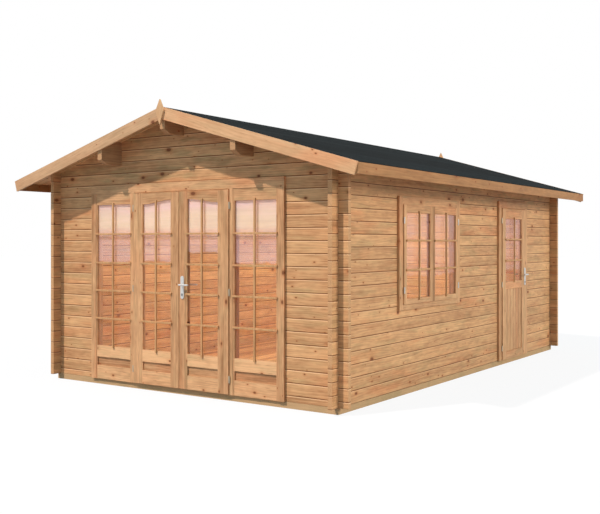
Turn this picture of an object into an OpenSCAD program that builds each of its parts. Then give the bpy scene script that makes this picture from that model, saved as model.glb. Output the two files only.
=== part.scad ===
/* [Cabin] */
// Width over the outer faces of the side walls
cabin_w = 3600; // [3400:10:4000]
// Length over the outer faces of the front and back walls
cabin_l = 5500; // [5300:10:6500]
// Height of the treated bearers under the walls
base_h = 58; // [45:1:80]
// Width of the treated bearers
base_w = 110; // [100:1:150]
// Thickness of the floor boards
floor_t = 20; // [16:1:28]
// Gap between the floor boards and the logs
floor_gap = 32; // [30:1:45]

/* [Logs] */
// Thickness of a wall log
log_t = 44; // [38:1:58]
// Log courses in a side wall, the top one cut to the roof slope
wall_courses = 19; // [18:1:20]
// Height that the roof cuts off the top course at the wall's outer face
top_cut = 24.5; // [15:0.5:40]
// Depth of the V joint between two courses
joint_v = 4; // [2:0.5:7]
// Length of the log ends past the crossed corners
stub = 100; // [60:1:150]
// Play in the notches of the crossed corners
notch_play = 0.3; // [0.1:0.1:1]

/* [Roof] */
// Roof pitch in degrees
roof_pitch = 16.2; // [14:0.1:18]
// Height of the ridge above the ground
ridge_z = 2766; // [2700:1:2900]
// Roof length past the front and back walls
gable_overhang = 290; // [200:1:400]
// Roof width past the side walls
eave_overhang = 360; // [250:1:420]
// Thickness of the roof boards
deck_t = 19; // [16:1:28]
// Thickness of the roofing felt
felt_t = 4; // [2:0.5:8]
// Height of a bargeboard, square to its slope
barge_h = 114; // [90:1:140]
// Thickness of a bargeboard
barge_t = 20; // [16:1:28]
// Height of an eave board
fascia_h = 95; // [80:1:110]
// Thickness of an eave board
fascia_t = 20; // [16:1:28]
// Width of a purlin
purlin_w = 60; // [50:1:90]
// Height of a purlin at its middle
purlin_h = 226; // [180:1:250]
// Height of the slant cut under each purlin end
purlin_nose_h = 40; // [20:1:80]
// Length of the slant cut under each purlin end
purlin_nose_l = 75; // [40:1:120]
// Distance of the side purlins from the ridge
purlin_x = 855; // [700:1:1000]
// Width of the diamond board at each gable peak
finial_w = 100; // [80:1:140]
// Height of the diamond above the ridge
finial_rise = 67; // [40:1:100]
// Drop of the diamond's widest point below the ridge
finial_waist = 37; // [15:1:50]
// Drop of the diamond's lower point below the ridge
finial_drop = 176; // [125:1:200]
// Thickness of the diamond board
finial_t = 18; // [14:1:25]
// Gap between parts that are nailed face to face
seat = 0.3; // [0.1:0.1:0.5]

/* [Door and window joinery] */
// How far the casings stand out from the log faces
casing_proud = 26; // [20:1:29]
// Depth of the groove in a casing that takes the log ends
casing_lap = 28; // [20:1:40]
// Play of the log ends in that groove
casing_play = 1; // [0.5:0.5:2]
// Height of the threshold behind a closed leaf
sill_t = 18; // [14:1:25]
// Thickness of door leaves, sidelights and sashes
leaf_t = 40; // [36:1:46]
// How far door leaves and sashes stand out from the casing face
leaf_proud = 12; // [4:1:16]
// Setback of the sidelights behind the casing face
sidelight_setback = 4; // [2:1:8]
// Running gap at the hinge side, top and bottom of a leaf
leaf_gap = 6; // [5:0.5:8]
// Running gap at the closing side of a leaf
closing_gap = 8; // [7:0.5:10]
// Fit of a fixed sidelight or sash in its frame
fixed_gap = 1; // [0.5:0.5:3]
// Thickness of the glass
glass_t = 4; // [3:0.5:6]
// Depth of the groove that holds the glass
glass_groove = 9; // [6:1:12]
// Play of the glass in its groove
glass_play = 0.3; // [0.1:0.1:0.8]
// Depth of the sunk lower panels
panel_sink = 15; // [5:1:16]

/* [Front door set] */
// Width over the outer casings
set_w = 2490; // [2420:1:2600]
// Width of the outer casings
set_casing = 69; // [60:1:90]
// Width of the posts beside the leaves
set_post = 39; // [30:1:70]
// Width of one front leaf
front_leaf_w = 611; // [560:1:620]
// Height of the head casing over the leaves
set_head = 90; // [75:1:120]
// Side courses above the half course that ends the door set
front_over = 2; // [2:1:3]
// Width of the hinge stiles of the front leaves
hinge_stile = 127; // [100:1:140]
// Width of the stiles where the front leaves meet
meeting_stile = 105; // [90:1:120]
// Height of the glass bottom
front_glass_z0 = 405; // [350:1:450]
// Height of the top rail at the hinge side
front_top_rail = 114; // [90:1:150]
// Rise of the curved glass top towards the middle
front_glass_rise = 38; // [0:1:50]
// Height of the middle rail
front_rail_h = 118; // [80:1:140]
// Height of the bottom rail
front_bottom_rail = 135; // [90:1:150]
// Height of the top rail of the sidelights
sidelight_top_rail = 111; // [90:1:150]
// Width of the stiles of the sidelights
sidelight_stile = 16; // [14:1:40]

/* [Side window] */
// Distance of the window's middle from the front wall's outer face
window_y = 1748; // [1500:1:1900]
// Width over the window casing
window_w = 1380; // [1200:1:1500]
// Width of the window casing
window_casing = 72; // [60:1:85]
// Courses under the window
window_under = 7; // [6:1:8]
// Courses over the window
window_over = 3; // [3:1:4]
// Lap of the casing over the log under the window
window_apron = 38; // [30:1:60]
// Height of the casing above the log under the window
window_step = 17; // [6:1:30]
// Height of the casing below the log over the window
window_drop = 53; // [40:1:90]
// Width of the sash stiles
sash_stile = 54; // [45:1:75]
// Height of the lower rail of a sash
sash_rail = 49; // [40:1:65]
// Height of the upper rail of a sash
sash_top_rail = 75; // [45:1:90]

/* [Side door] */
// Distance of the door's middle from the front wall's outer face
side_door_y = 4032; // [3900:1:4200]
// Width over the door casing
side_door_w = 940; // [880:1:1000]
// Width of the door casing
side_door_casing = 78; // [65:1:90]
// Height of the casing top above the log joint over the window
side_door_rise = 71; // [60:1:85]
// Width of the hinge stile of the side door
side_hinge_stile = 96; // [85:1:120]
// Width of the lock stile of the side door
side_lock_stile = 140; // [110:1:160]
// Height of the glass bottom in the side door
side_glass_z0 = 1000; // [900:1:1100]
// Height of the top rail of the side door
side_top_rail = 120; // [90:1:150]
// Height of the middle rail of the side door
side_rail_h = 90; // [80:1:130]
// Height of the bottom rail of the side door
side_bottom_rail = 88; // [60:1:120]

/* [Handles] */
// Height of the lever above the ground
lever_z = 1070; // [1000:1:1150]
// Distance of the handles from the closing edge of their leaf
handle_in = 44; // [30:1:55]
// Width of the handle plate
plate_w = 42; // [34:1:50]
// Height of the handle plate
plate_h = 222; // [180:1:250]
// Thickness of the handle plate
plate_t = 8; // [5:1:12]
// Height of the plate above the lever
plate_above = 85; // [60:1:110]
// Radius of the lever bar
lever_r = 9; // [7:0.5:12]
// Length of the lever bar
lever_l = 118; // [90:1:140]
// Distance of the lever bar from the plate
lever_stand = 38; // [28:1:50]

/* [Hinges] */
// Distance of the hinge pins in front of the casing face
hinge_out = 7.5; // [7.5:0.5:9]
// Distance of the hinge pins beside the edge of their leaf
hinge_side = 9; // [8:0.5:10]
// Radius of a hinge barrel
hinge_r = 7; // [5:0.5:7]
// Length of a hinge barrel
hinge_l = 66; // [50:1:110]
// Radius of a hinge pin
hinge_pin_r = 3.5; // [2.5:0.5:4]
// Play of a hinge pin in its barrel
hinge_play = 0.1; // [0.05:0.05:0.2]
// Width of the block that carries a hinge barrel
hinge_block_w = 6; // [5:1:7]
// Thickness of the closed end of a hinge barrel
hinge_cap = 3; // [2:0.5:4]
// Height of the lowest hinge above the leaf's lower edge
hinge_low = 139; // [80:1:160]
// Drop of the highest hinge below the leaf's upper edge
hinge_high = 150; // [120:1:220]

/* [Hidden] */
$fn = 48;
curve_steps = 14;
// Overrun of a cut past the face that it opens
over = 1;

LOG = [0.80, 0.60, 0.41];
TRIM = [0.86, 0.67, 0.46];
JOINERY = [0.82, 0.62, 0.43];
TREATED = [0.40, 0.37, 0.30];
BOARD = [0.78, 0.55, 0.36];
FELT = [0.13, 0.17, 0.19];
GLASS = [0.90, 0.82, 0.80, 0.4];
STEEL = [0.72, 0.72, 0.70];

// Roof surfaces, measured straight up at a distance x from the ridge
function felt_top(x) = ridge_z - abs(x) * tan(roof_pitch);
function felt_under(x) = felt_top(x) - felt_t / cos(roof_pitch);
function deck_top(x) = felt_under(x) - seat;
function deck_under(x) = deck_top(x) - deck_t / cos(roof_pitch);
function wall_top(x) = deck_under(x) - seat;
eave_x = cabin_w / 2 + eave_overhang;
verge_y = cabin_l / 2 + gable_overhang;
deck_y = verge_y - barge_t - seat;

// Log courses fill the wall: side courses start on the bearers, front courses half a log higher
log_h = (wall_top(cabin_w / 2) + top_cut - base_h) / wall_courses;
side_first = base_h;
front_first = base_h + log_h / 2;
// Height of log centres left between the notches, the top side log running up to the roof
function neck(k, first) = [first + (k + 0.25) * log_h, first + (k + 0.75) * log_h];
top_neck = [side_first + (wall_courses - 0.75) * log_h, side_first + (wall_courses + 1) * log_h];
side_necks = concat([for (k = [0:wall_courses - 2]) neck(k, side_first)], [top_neck]);
front_necks = [for (k = [-1:wall_courses - 2]) neck(k, front_first)];
front_head_z = front_first + (wall_courses - front_over) * log_h;
window_sill_z = base_h + window_under * log_h;
window_head_z = base_h + (wall_courses - window_over) * log_h;

// Joinery depths, measured inwards from the outer log face
frame_depth = log_t + 2 * casing_proud;
leaf_face = -casing_proud - leaf_proud;
sidelight_face = sidelight_setback - casing_proud;
glass_face = leaf_face + (leaf_t - glass_t) / 2;

// Front door set
post_in = front_leaf_w + closing_gap / 2 + leaf_gap;
post_out = post_in + set_post;
jamb_in = set_w / 2 - set_casing;
sill_top = base_h + sill_t;
leaf_z0 = base_h + leaf_gap;
set_top = front_head_z - casing_play;
set_bay_top = set_top - set_head;
set_half = set_w / 2 - casing_lap;
front_leaf_top = set_bay_top - leaf_gap;
front_glass_z1 = front_leaf_top - front_top_rail;
front_rail_z0 = front_glass_z0 - front_rail_h;
sidelight_w = jamb_in - post_out - 2 * fixed_gap;
sidelight_top = set_bay_top - fixed_gap;
sidelight_glass_z1 = sidelight_top - sidelight_top_rail;

// Side window and side door, along the wall from its middle
window_c = window_y - cabin_l / 2;
window_half = window_w / 2 - casing_lap;
window_z0 = window_sill_z - window_apron;
window_z1 = window_head_z + casing_lap;
sash_z0 = window_sill_z + window_step;
sash_z1 = window_head_z - window_drop;
sash_bay = window_w / 2 - window_casing;
sash_w = sash_bay - fixed_gap - fixed_gap / 2;
door_c = side_door_y - cabin_l / 2;
door_half = side_door_w / 2 - casing_lap;
door_bay = side_door_w - 2 * side_door_casing;
side_leaf_w = door_bay - leaf_gap - closing_gap;
side_door_top = window_head_z + side_door_rise;
side_bay_top = side_door_top - side_door_casing;
side_leaf_top = side_bay_top - leaf_gap;
side_glass_z1 = side_leaf_top - side_top_rail;
side_rail_z0 = side_glass_z0 - side_rail_h;

// Wall frames: x runs along the wall, y inwards from the outer log face
module on_front() translate([0, -cabin_l / 2, 0]) children();
module on_back() translate([0, cabin_l / 2, 0]) rotate(180) children();
module on_right() translate([cabin_w / 2, 0, 0]) rotate(90) children();
module on_left() translate([-cabin_w / 2, 0, 0]) rotate(-90) children();

// Upright slab: an outline in x and z, from y0 to y1
module slab(outline, y0, y1)
    translate([0, y1, 0]) rotate([90, 0, 0]) linear_extrude(y1 - y0) polygon(outline);

// Heights of the joints between courses from z0 to z1
function joints(z0, z1, first) = [for (k = [0:ceil((z1 - first) / log_h)])
    let (z = first + k * log_h) if (z > z0 + joint_v && z < z1 - joint_v) z];

// Section through a stack of logs, with a V at every joint on both faces
function log_section(z0, z1, first) = let (j = joints(z0, z1, first), n = len(j)) concat(
    [[joint_v, z0], [0, z0 + joint_v]],
    [for (z = j) each [[0, z - joint_v], [joint_v, z], [0, z + joint_v]]],
    [[0, z1 - joint_v], [joint_v, z1], [log_t - joint_v, z1], [log_t, z1 - joint_v]],
    [for (i = [n - 1:-1:0])
        each [[log_t, j[i] + joint_v], [log_t - joint_v, j[i]], [log_t, j[i] - joint_v]]],
    [[log_t, z0 + joint_v], [log_t - joint_v, z0]]);

module log_run(x0, x1, z0, z1, first)
    translate([x0, 0, 0]) rotate([90, 0, 90]) linear_extrude(x1 - x0) polygon(log_section(z0, z1, first));

// Notches where the logs of the other wall pass through a corner
module corner_notches(x, necks) for (n = necks)
    translate([x - notch_play, -log_t, n[0] - notch_play / 2])
        cube([log_t + 2 * notch_play, 3 * log_t, n[1] - n[0] + notch_play]);

// Everything above the underside of the roof boards
module above_roof() slab([[-cabin_w, wall_top(cabin_w)], [0, wall_top(0)], [cabin_w, wall_top(cabin_w)],
    [cabin_w, 2 * ridge_z], [-cabin_w, 2 * ridge_z]], -cabin_l, cabin_l);

// Purlin along y with its top cut to the roof slopes
function purlin_z0(x) = wall_top(x) - purlin_h;
function purlin_outline(x, play) = let (a = x - purlin_w / 2 - play, b = x + purlin_w / 2 + play) concat(
    [[a, purlin_z0(x) - play], [b, purlin_z0(x) - play], [b, wall_top(b) + play]],
    a * b < 0 ? [[0, wall_top(0) + play]] : [],
    [[a, wall_top(a) + play]]);
module purlin_notches() for (x = [-purlin_x, 0, purlin_x])
    slab(purlin_outline(x, notch_play), -deck_y, deck_y);
// Slant cut under the end of a purlin at +y, run on past the corner that it takes off
module purlin_nose(x) translate([x - purlin_w, deck_y, purlin_z0(x)]) rotate([90, 0, 90])
    linear_extrude(2 * purlin_w) polygon([[-2 * purlin_nose_l, -purlin_nose_h],
        [purlin_nose_l, -purlin_nose_h], [purlin_nose_l, 2 * purlin_nose_h]]);
module purlin(x) difference() {
    slab(purlin_outline(x, 0), -deck_y, deck_y);
    purlin_nose(x);
    mirror([0, 1, 0]) purlin_nose(x);
}

// Front and back walls reach past the side walls, side walls past the front and back
end_half = cabin_w / 2 + stub;
side_half = cabin_l / 2 + stub;
module end_wall(x0, x1, z0, z1) difference() {
    log_run(x0, x1, z0, z1, front_first);
    for (x = [-cabin_w / 2, cabin_w / 2 - log_t]) if (x > x0 && x < x1) corner_notches(x, side_necks);
}
module side_wall(x0, x1, z0, z1) difference() {
    log_run(x0, x1, z0, z1, side_first);
    for (x = [-cabin_l / 2, cabin_l / 2 - log_t]) if (x > x0 && x < x1) corner_notches(x, front_necks);
}

module base_frame() color(TREATED) difference() {
    translate([-cabin_w / 2, -cabin_l / 2, 0]) cube([cabin_w, cabin_l, base_h]);
    translate([base_w - cabin_w / 2, base_w - cabin_l / 2, -base_h])
        cube([cabin_w - 2 * base_w, cabin_l - 2 * base_w, 3 * base_h]);
}
floor_in = log_t + floor_gap;
module floor() color(BOARD) translate([floor_in - cabin_w / 2, floor_in - cabin_l / 2, base_h])
    cube([cabin_w - 2 * floor_in, cabin_l - 2 * floor_in, floor_t]);

module front_wall_left() color(LOG) on_front() end_wall(-end_half, -set_half, base_h, front_head_z);
module front_wall_right() color(LOG) on_front() end_wall(set_half, end_half, base_h, front_head_z);
module front_gable() color(LOG) difference() {
    on_front() end_wall(-end_half, end_half, front_head_z, ridge_z);
    above_roof();
    purlin_notches();
}
module back_wall() color(LOG) difference() {
    on_back() end_wall(-end_half, end_half, base_h, ridge_z);
    above_roof();
    purlin_notches();
}
module left_wall() color(LOG) difference() {
    on_left() side_wall(-side_half, side_half, base_h, ridge_z);
    above_roof();
}
module right_wall_lower() color(LOG) on_right()
    side_wall(-side_half, door_c - door_half, base_h, window_sill_z);
module right_wall_front() color(LOG) on_right()
    side_wall(-side_half, window_c - window_half, window_sill_z, window_head_z);
module right_wall_middle() color(LOG) on_right()
    side_wall(window_c + window_half, door_c - door_half, window_sill_z, window_head_z);
module right_wall_rear() color(LOG) on_right()
    side_wall(door_c + door_half, side_half, base_h, window_head_z);
module right_wall_top() color(LOG) difference() {
    on_right() side_wall(-side_half, side_half, window_head_z, ridge_z);
    on_right() translate([door_c - door_half, -log_t, base_h])
        cube([2 * door_half, 3 * log_t, side_door_top - casing_lap - base_h]);
    above_roof();
}

module ridge_purlin() color(LOG) purlin(0);
module left_purlin() color(LOG) purlin(-purlin_x);
module right_purlin() color(LOG) purlin(purlin_x);

// Right half of the roof boards, the left half is its mirror image
deck_x = eave_x - fascia_t - seat;
module deck_half() slab([[seat / 2, deck_under(0)], [deck_x, deck_under(deck_x)], [deck_x, deck_top(deck_x)],
    [seat / 2, deck_top(0)]], -deck_y, deck_y);
module roof_deck_left() color(BOARD) mirror([1, 0, 0]) deck_half();
module roof_deck_right() color(BOARD) deck_half();
module roof_felt() color(FELT) slab([[-eave_x, felt_under(eave_x)], [0, felt_under(0)],
    [eave_x, felt_under(eave_x)], [eave_x, felt_top(eave_x)], [0, ridge_z], [-eave_x, felt_top(eave_x)]],
    -deck_y, deck_y);

// Bargeboard of the right slope, with its lower end cut square
module barge() let (dx = barge_h * sin(roof_pitch), dz = barge_h * cos(roof_pitch))
    slab([[seat / 2, felt_top(seat / 2)], [eave_x, felt_top(eave_x)], [eave_x - dx, felt_top(eave_x) - dz],
        [seat / 2, felt_top(seat / 2) - barge_h / cos(roof_pitch)]], 0, barge_t);
module front_barge_right() color(TRIM) translate([0, -verge_y, 0]) barge();
module front_barge_left() color(TRIM) mirror([1, 0, 0]) translate([0, -verge_y, 0]) barge();
module back_barge_right() color(TRIM) translate([0, verge_y - barge_t, 0]) barge();
module back_barge_left() color(TRIM) mirror([1, 0, 0]) translate([0, verge_y - barge_t, 0]) barge();

module fascia() let (x0 = eave_x - fascia_t, z0 = felt_under(eave_x) - fascia_h)
    slab([[x0, z0], [eave_x, z0], [eave_x, deck_top(eave_x)], [x0, deck_top(x0)]], -deck_y, deck_y);
module right_fascia() color(TRIM) fascia();
module left_fascia() color(TRIM) mirror([1, 0, 0]) fascia();

module finial() slab([[0, ridge_z + finial_rise], [finial_w / 2, ridge_z - finial_waist],
    [0, ridge_z - finial_drop], [-finial_w / 2, ridge_z - finial_waist]], -finial_t, 0);
module front_finial() color(TRIM) translate([0, -verge_y - seat, 0]) finial();
module back_finial() color(TRIM) translate([0, verge_y + seat, 0]) rotate(180) finial();

// Board frame round an opening, grooved over the log ends on the sides that are listed
module casing_box(w, z0, z1) translate([-w / 2, -casing_proud, z0]) cube([w, frame_depth, z1 - z0]);
module bay(x0, x1, z0, z1) translate([x0, -2 * casing_proud, z0]) cube([x1 - x0, 2 * frame_depth, z1 - z0]);
groove_w = log_t + 2 * casing_play;
module side_grooves(w, z0, z1) for (s = [-1, 1])
    translate([s * w / 2 - casing_lap - casing_play, -casing_play, z0 - over])
        cube([2 * (casing_lap + casing_play), groove_w, z1 - z0 + 2 * over]);
// Bay of a door or sidelight: the leaf with its face at y reaches down in front of the threshold
module door_bay_cut(x0, x1, z1, y) {
    bay(x0, x1, sill_top, z1);
    translate([x0, y + leaf_t + leaf_gap - frame_depth, base_h - over])
        cube([x1 - x0, frame_depth, z1 - base_h]);
}
module level_groove(w, z, lap, play) translate([-w, -casing_play, z - lap - play])
    cube([2 * w, groove_w, 2 * (lap + play)]);

module front_frame() color(JOINERY) on_front() difference() {
    casing_box(set_w, base_h, set_top);
    door_bay_cut(-post_in, post_in, set_bay_top, leaf_face);
    door_bay_cut(post_out, jamb_in, set_bay_top, sidelight_face);
    door_bay_cut(-jamb_in, -post_out, set_bay_top, sidelight_face);
    side_grooves(set_w, base_h, set_top);
}

// Outline of the glass, its top rising in an ogee from x0 to x1, grown by a margin
function glass_outline(x0, x1, z0, z1, rise, margin) = concat(
    [[x0 - margin, z0 - margin], [x1 + margin, z0 - margin], [x1 + margin, z1 + rise + margin]],
    rise == 0 ? [] : [for (i = [curve_steps:-1:0]) let (u = i / curve_steps)
        [x0 + u * (x1 - x0), z1 + margin + rise * (1 - cos(180 * u)) / 2]],
    [[x0 - margin, z1 + margin]]);

// Opening for the glass between two stiles with the groove round it, and the glass itself
module glass_cut(w, a, b, g0, g1, rise = 0) {
    slab(glass_outline(a, w - b, g0, g1, rise, 0), leaf_face - over, leaf_face + leaf_t + over);
    slab(glass_outline(a, w - b, g0, g1, rise, glass_groove),
        glass_face - glass_play, glass_face + glass_t + glass_play);
}
module glass(w, a, b, g0, g1, rise = 0)
    slab(glass_outline(a, w - b, g0, g1, rise, glass_groove - glass_play), glass_face, glass_face + glass_t);

// Glazed leaf from x = 0 to w: stiles a and b, rails, glass groove and a lower panel sunk on both faces
module glazed_leaf(w, z0, z1, a, b, g0, g1, rise, panel_z0, panel_z1) difference() {
    translate([0, leaf_face, z0]) cube([w, leaf_t, z1 - z0]);
    glass_cut(w, a, b, g0, g1, rise);
    for (y = [leaf_face - over, leaf_face + leaf_t - panel_sink])
        translate([a, y, panel_z0]) cube([w - a - b, panel_sink + over, panel_z1 - panel_z0]);
}

// Left front leaf from its hinge edge to the middle, the right one is its mirror image
module left_leaf_place() on_front() translate([-closing_gap / 2 - front_leaf_w, 0, 0]) children();
module right_leaf_place() mirror([1, 0, 0]) left_leaf_place() children();
module front_leaf() glazed_leaf(front_leaf_w, leaf_z0, front_leaf_top, hinge_stile, meeting_stile,
    front_glass_z0, front_glass_z1, front_glass_rise, leaf_z0 + front_bottom_rail, front_rail_z0);
module front_glass() glass(front_leaf_w, hinge_stile, meeting_stile, front_glass_z0, front_glass_z1,
    front_glass_rise);
module front_leaf_left() color(JOINERY) left_leaf_place() front_leaf();
module front_leaf_right() color(JOINERY) right_leaf_place() front_leaf();
module front_glass_left() color(GLASS) left_leaf_place() front_glass();
module front_glass_right() color(GLASS) right_leaf_place() front_glass();

// Fixed sidelights between the posts and the casings
module left_sidelight_place() on_front()
    translate([fixed_gap - jamb_in, sidelight_face - leaf_face, 0]) children();
module right_sidelight_place() mirror([1, 0, 0]) left_sidelight_place() children();
module sidelight() glazed_leaf(sidelight_w, base_h + seat, sidelight_top, sidelight_stile, sidelight_stile,
    front_glass_z0, sidelight_glass_z1, 0, leaf_z0 + front_bottom_rail, front_rail_z0);
module sidelight_pane() glass(sidelight_w, sidelight_stile, sidelight_stile, front_glass_z0,
    sidelight_glass_z1);
module sidelights() color(JOINERY) {
    left_sidelight_place() sidelight();
    right_sidelight_place() sidelight();
}
module sidelight_glass() color(GLASS) {
    left_sidelight_place() sidelight_pane();
    right_sidelight_place() sidelight_pane();
}

// Side window: a grooved casing with two sashes
module window_place() on_right() translate([window_c, 0, 0]) children();
module window_frame() color(JOINERY) window_place() difference() {
    casing_box(window_w, window_z0, window_z1);
    bay(-sash_bay, sash_bay, sash_z0, sash_z1);
    side_grooves(window_w, window_z0, window_z1);
    level_groove(window_w, window_z0, window_apron, seat);
    level_groove(window_w, window_z1, casing_lap, casing_play);
}
module sash() difference() {
    translate([0, leaf_face, sash_z0]) cube([sash_w, leaf_t, sash_z1 - fixed_gap - sash_z0]);
    glass_cut(sash_w, sash_stile, sash_stile, sash_z0 + sash_rail, sash_z1 - sash_top_rail);
}
module sash_pane()
    glass(sash_w, sash_stile, sash_stile, sash_z0 + sash_rail, sash_z1 - sash_top_rail);
module left_sash_place() window_place() translate([fixed_gap - sash_bay, 0, 0]) children();
module right_sash_place() window_place() translate([fixed_gap / 2, 0, 0]) children();
module window_sashes() color(JOINERY) {
    left_sash_place() sash();
    right_sash_place() sash();
}
module window_glass() color(GLASS) {
    left_sash_place() sash_pane();
    right_sash_place() sash_pane();
}

// Side door, hinged on the edge nearer the front
module side_door_frame() color(JOINERY) on_right() translate([door_c, 0, 0]) difference() {
    casing_box(side_door_w, base_h, side_door_top);
    door_bay_cut(-door_bay / 2, door_bay / 2, side_bay_top, leaf_face);
    side_grooves(side_door_w, base_h, side_door_top);
    level_groove(side_door_w, side_door_top, casing_lap, casing_play);
}
module side_leaf_place() on_right() translate([door_c - door_bay / 2 + leaf_gap, 0, 0]) children();
module side_door_leaf() color(JOINERY) side_leaf_place() glazed_leaf(side_leaf_w, leaf_z0, side_leaf_top,
    side_hinge_stile, side_lock_stile, side_glass_z0, side_glass_z1, 0, leaf_z0 + side_bottom_rail,
    side_rail_z0);
module side_door_glass() color(GLASS) side_leaf_place()
    glass(side_leaf_w, side_hinge_stile, side_lock_stile, side_glass_z0, side_glass_z1);

// Lever handle on a plate, standing out along -y, its lever towards -x
module lever_handle() {
    translate([-plate_w / 2, -plate_t, plate_above - plate_h + plate_w / 2])
        cube([plate_w, plate_t, plate_h - plate_w]);
    for (z = [plate_above - plate_w / 2, plate_above - plate_h + plate_w / 2])
        translate([0, 0, z]) rotate([90, 0, 0]) cylinder(r = plate_w / 2, h = plate_t);
    rotate([90, 0, 0]) cylinder(r = lever_r, h = plate_t + lever_stand);
    translate([-lever_l + lever_r, -plate_t - lever_stand, 0])
        rotate([0, 90, 0]) cylinder(r = lever_r, h = lever_l);
}
module both_handles(w) {
    translate([w - handle_in, leaf_face - seat, lever_z]) lever_handle();
    translate([w - handle_in, leaf_face + leaf_t + seat, lever_z]) mirror([0, 1, 0]) lever_handle();
}
module front_handle() color(STEEL) right_leaf_place() both_handles(front_leaf_w);
module side_door_handle() color(STEEL) side_leaf_place() both_handles(side_leaf_w);

// Lift-off hinge on its pin axis: the fixed half carries the pin and stands on the casing
hinge_half = hinge_l / 2 - seat / 2;
module fixed_hinge() translate([0, 0, -hinge_l / 2]) {
    cylinder(r = hinge_r, h = hinge_half);
    cylinder(r = hinge_pin_r, h = hinge_l - 2 * hinge_cap);
    translate([-hinge_block_w, 0, 0]) cube([hinge_block_w, hinge_out - seat, hinge_half]);
}
// The moving half drops over the pin and holds the edge of the leaf
module moving_hinge() translate([0, 0, hinge_l / 2 - hinge_half]) difference() {
    union() {
        cylinder(r = hinge_r, h = hinge_half);
        translate([0, -hinge_block_w / 2, 0]) cube([hinge_side - seat, hinge_block_w, hinge_half]);
    }
    translate([0, 0, -over]) cylinder(r = hinge_pin_r + hinge_play, h = hinge_half + over - hinge_cap);
}
module hinge_row(leaf_top) for (z = [leaf_z0 + hinge_low, (leaf_z0 + leaf_top + hinge_low - hinge_high) / 2,
    leaf_top - hinge_high]) translate([-hinge_side, -casing_proud - hinge_out, z]) children();
module door_hinges() color(STEEL) {
    left_leaf_place() hinge_row(front_leaf_top) fixed_hinge();
    right_leaf_place() hinge_row(front_leaf_top) fixed_hinge();
    side_leaf_place() hinge_row(side_leaf_top) fixed_hinge();
}
module front_left_knuckles() color(STEEL) left_leaf_place() hinge_row(front_leaf_top) moving_hinge();
module front_right_knuckles() color(STEEL) right_leaf_place() hinge_row(front_leaf_top) moving_hinge();
module side_door_knuckles() color(STEEL) side_leaf_place() hinge_row(side_leaf_top) moving_hinge();

base_frame();
floor();
front_wall_left();
front_wall_right();
front_gable();
back_wall();
left_wall();
right_wall_lower();
right_wall_front();
right_wall_middle();
right_wall_rear();
right_wall_top();
ridge_purlin();
left_purlin();
right_purlin();
roof_deck_left();
roof_deck_right();
roof_felt();
front_barge_left();
front_barge_right();
back_barge_left();
back_barge_right();
left_fascia();
right_fascia();
front_finial();
back_finial();
front_frame();
sidelights();
sidelight_glass();
front_leaf_left();
front_leaf_right();
front_glass_left();
front_glass_right();
front_handle();
door_hinges();
front_left_knuckles();
front_right_knuckles();
side_door_knuckles();
window_frame();
window_sashes();
window_glass();
side_door_frame();
side_door_leaf();
side_door_glass();
side_door_handle();
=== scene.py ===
import math

import bmesh
import bpy
from mathutils import Matrix, Vector


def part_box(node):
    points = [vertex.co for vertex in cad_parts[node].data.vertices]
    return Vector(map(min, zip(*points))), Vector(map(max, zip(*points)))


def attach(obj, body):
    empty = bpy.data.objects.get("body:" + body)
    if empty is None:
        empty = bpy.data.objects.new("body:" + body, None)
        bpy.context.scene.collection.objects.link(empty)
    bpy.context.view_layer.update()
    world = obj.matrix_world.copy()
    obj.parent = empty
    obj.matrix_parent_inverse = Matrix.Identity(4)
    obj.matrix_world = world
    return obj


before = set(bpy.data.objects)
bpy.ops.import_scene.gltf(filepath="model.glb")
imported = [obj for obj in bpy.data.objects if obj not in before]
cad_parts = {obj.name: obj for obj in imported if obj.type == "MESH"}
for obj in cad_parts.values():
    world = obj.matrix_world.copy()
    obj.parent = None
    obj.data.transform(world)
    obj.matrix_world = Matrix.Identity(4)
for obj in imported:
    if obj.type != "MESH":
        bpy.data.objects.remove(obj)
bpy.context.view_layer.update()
scene = bpy.context.scene

X, Y, Z = (1, 0, 0), (0, 1, 0), (0, 0, 1)
WHITE = (1, 1, 1, 1)

# Log courses in metres: height of one, and a joint of the front walls and of the side walls
COURSE = 0.115
FRONT_JOINT = 0.1155
SIDE_JOINT = 0.058
FLOOR_BOARD = 0.092
ROOF_BOARD = 0.09

# Roof pitch, with the directions down each slope and out of it
PITCH = math.radians(16.2)
SLOPE = (math.cos(PITCH), 0, -math.sin(PITCH))
RISE = (math.sin(PITCH), 0, math.cos(PITCH))
LEFT_SLOPE = (math.cos(PITCH), 0, math.sin(PITCH))
LEFT_RISE = (-math.sin(PITCH), 0, math.cos(PITCH))
# Felt: width of a strip, start of the first, and from a strip's upper edge its shadow and its worn band
FELT_STRIP = 0.9
FELT_START = 0.78
FELT_SHADOW = (0.0, 0.014)
WORN_STARTS = (0.86, 0.888)
WORN_ENDS = (0.89, 0.9)

# Front door set: edges from its middle outwards, then heights. A leaf's top is that of its curved pane
# at the upright bar
LEAF_PANE = (0.109, 0.488)
LEAF_EDGE = 0.618
POST_EDGE = 0.660
SIDELIGHT_PANE = (0.677, 1.159)
SET_EDGE = 1.176
BOTTOM_RAIL_TOP = 0.199
SUNK_PANEL_TOP = 0.287
FRONT_PANE_FOOT = 0.405
FRONT_TOP_RAIL = 1.855
FRONT_HEAD = 1.9795
SIDELIGHT_TOP = 1.8675
LEAF_TOP = 1.8785
FRONT_BARS = (0.690, 0.980, 1.267, 1.563)

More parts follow.
